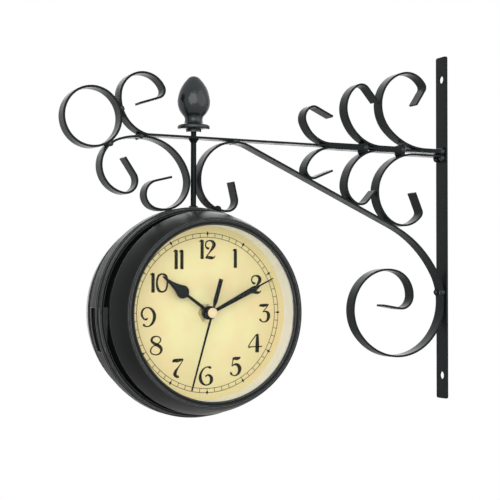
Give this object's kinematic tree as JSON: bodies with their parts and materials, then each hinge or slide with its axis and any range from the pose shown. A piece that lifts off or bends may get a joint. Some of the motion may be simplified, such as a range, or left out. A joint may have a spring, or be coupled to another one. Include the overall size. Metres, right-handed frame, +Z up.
{
  "type": "double-sided wall clock",
  "caption": "Drum-shaped station clock with a dial on both faces, hung by a rod under a scrolled flat-iron wall bracket with a bud finial; hands turn and face units pull out.",
  "frame": {"origin": "centre of the wall plate's back face, on the wall", "axes": "+X into the wall, arm along -X, front dial faces -Y, rear dial faces +Y, +Z up"},
  "size_m": [0.2795, 0.075, 0.2447],
  "materials": {
    "black_iron": "satin black paint on bent strip iron",
    "case_black": "satin black paint on a turned case",
    "zinc_steel": "zinc plated",
    "lens_glass": "clear flat glass",
    "white_plastic": "matt white moulding",
    "dial_print": "printed cream card, slightly aged",
    "hand_black": "matt black stamped sheet",
    "cap_cream": "smooth cream cap",
    "movement_plastic": "black moulded plastic",
    "washer_rubber": "soft black rubber",
    "nut_brass": "turned brass",
    "cell_jacket": "plain blue jacket",
    "contact_steel": "nickel plated spring strip"
  },
  "bodies": {
    "bracket": {"wall_plate": "black_iron", "arm_bar": "black_iron", "end_ring": "black_iron", "double_scroll": "black_iron", "brace_scroll": "black_iron", "upper_leaf_1": "black_iron", "upper_leaf_2": "black_iron", "upper_leaf_3": "black_iron", "lower_leaf_1": "black_iron", "lower_leaf_2": "black_iron", "lower_leaf_3": "black_iron", "hanger_rod": "black_iron", "finial": "black_iron", "hanger_nut": "zinc_steel", "foot_screw": "black_iron", "weld_beads": "black_iron", "case_band": "case_black"},
    "front_unit": {"front_housing": "case_black", "front_bezel": "case_black", "front_lens": "lens_glass", "front_reflector": "white_plastic", "front_dial": "dial_print", "front_movement_case": "movement_plastic", "front_movement_cover": "movement_plastic", "front_washer": "washer_rubber", "front_fixing_nut": "zinc_steel", "front_battery": "cell_jacket", "front_battery_contacts": "contact_steel"},
    "front_hour": {"front_hour_hand": "hand_black", "front_hour_tube": "nut_brass"},
    "front_minute": {"front_minute_hand": "hand_black", "front_minute_tube": "nut_brass"},
    "front_second": {"front_second_hand": "hand_black", "front_hub_cap": "cap_cream"},
    "front_knob": {"front_set_knob": "movement_plastic"},
    "rear_unit": {"rear_housing": "case_black", "rear_bezel": "case_black", "rear_lens": "lens_glass", "rear_reflector": "white_plastic", "rear_dial": "dial_print", "rear_movement_case": "movement_plastic", "rear_movement_cover": "movement_plastic", "rear_washer": "washer_rubber", "rear_fixing_nut": "zinc_steel", "rear_battery": "cell_jacket", "rear_battery_contacts": "contact_steel"},
    "rear_hour": {"rear_hour_hand": "hand_black", "rear_hour_tube": "nut_brass"},
    "rear_minute": {"rear_minute_hand": "hand_black", "rear_minute_tube": "nut_brass"},
    "rear_second": {"rear_second_hand": "hand_black", "rear_hub_cap": "cap_cream"},
    "rear_knob": {"rear_set_knob": "movement_plastic"}
  },
  "joints": [
    {"name": "front_unit_pull", "type": "slide", "parent": "bracket", "child": "front_unit", "axis": [0, -1, 0], "range_m": [0, 0.045]},
    {"name": "front_minute_turn", "type": "hinge", "parent": "front_unit", "child": "front_minute", "pos_m": [-0.1918, -0.025, -0.0584], "axis": [0, 1, 0], "continuous": true},
    {"name": "front_hour_turn", "type": "hinge", "parent": "front_unit", "child": "front_hour", "pos_m": [-0.1918, -0.025, -0.0584], "axis": [0, 1, 0], "continuous": true},
    {"name": "front_second_turn", "type": "hinge", "parent": "front_unit", "child": "front_second", "pos_m": [-0.1918, -0.025, -0.0584], "axis": [0, 1, 0], "continuous": true},
    {"name": "front_knob_turn", "type": "hinge", "parent": "front_unit", "child": "front_knob", "pos_m": [-0.1918, -0.004, -0.0494], "axis": [0, 1, 0], "continuous": true},
    {"name": "rear_unit_pull", "type": "slide", "parent": "bracket", "child": "rear_unit", "axis": [0, 1, 0], "range_m": [0, 0.045]},
    {"name": "rear_minute_turn", "type": "hinge", "parent": "rear_unit", "child": "rear_minute", "pos_m": [-0.1918, 0.025, -0.0584], "axis": [0, -1, 0], "continuous": true},
    {"name": "rear_hour_turn", "type": "hinge", "parent": "rear_unit", "child": "rear_hour", "pos_m": [-0.1918, 0.025, -0.0584], "axis": [0, -1, 0], "continuous": true},
    {"name": "rear_second_turn", "type": "hinge", "parent": "rear_unit", "child": "rear_second", "pos_m": [-0.1918, 0.025, -0.0584], "axis": [0, -1, 0], "continuous": true},
    {"name": "rear_knob_turn", "type": "hinge", "parent": "rear_unit", "child": "rear_knob", "pos_m": [-0.1918, 0.004, -0.0494], "axis": [0, -1, 0], "continuous": true}
  ],
  "couplings": [
    {"joint": "front_hour_turn", "follows": "front_minute_turn", "ratio": 0.083333},
    {"joint": "front_knob_turn", "follows": "front_minute_turn", "ratio": -0.33333},
    {"joint": "rear_hour_turn", "follows": "rear_minute_turn", "ratio": 0.083333},
    {"joint": "rear_knob_turn", "follows": "rear_minute_turn", "ratio": -0.33333}
  ]
}
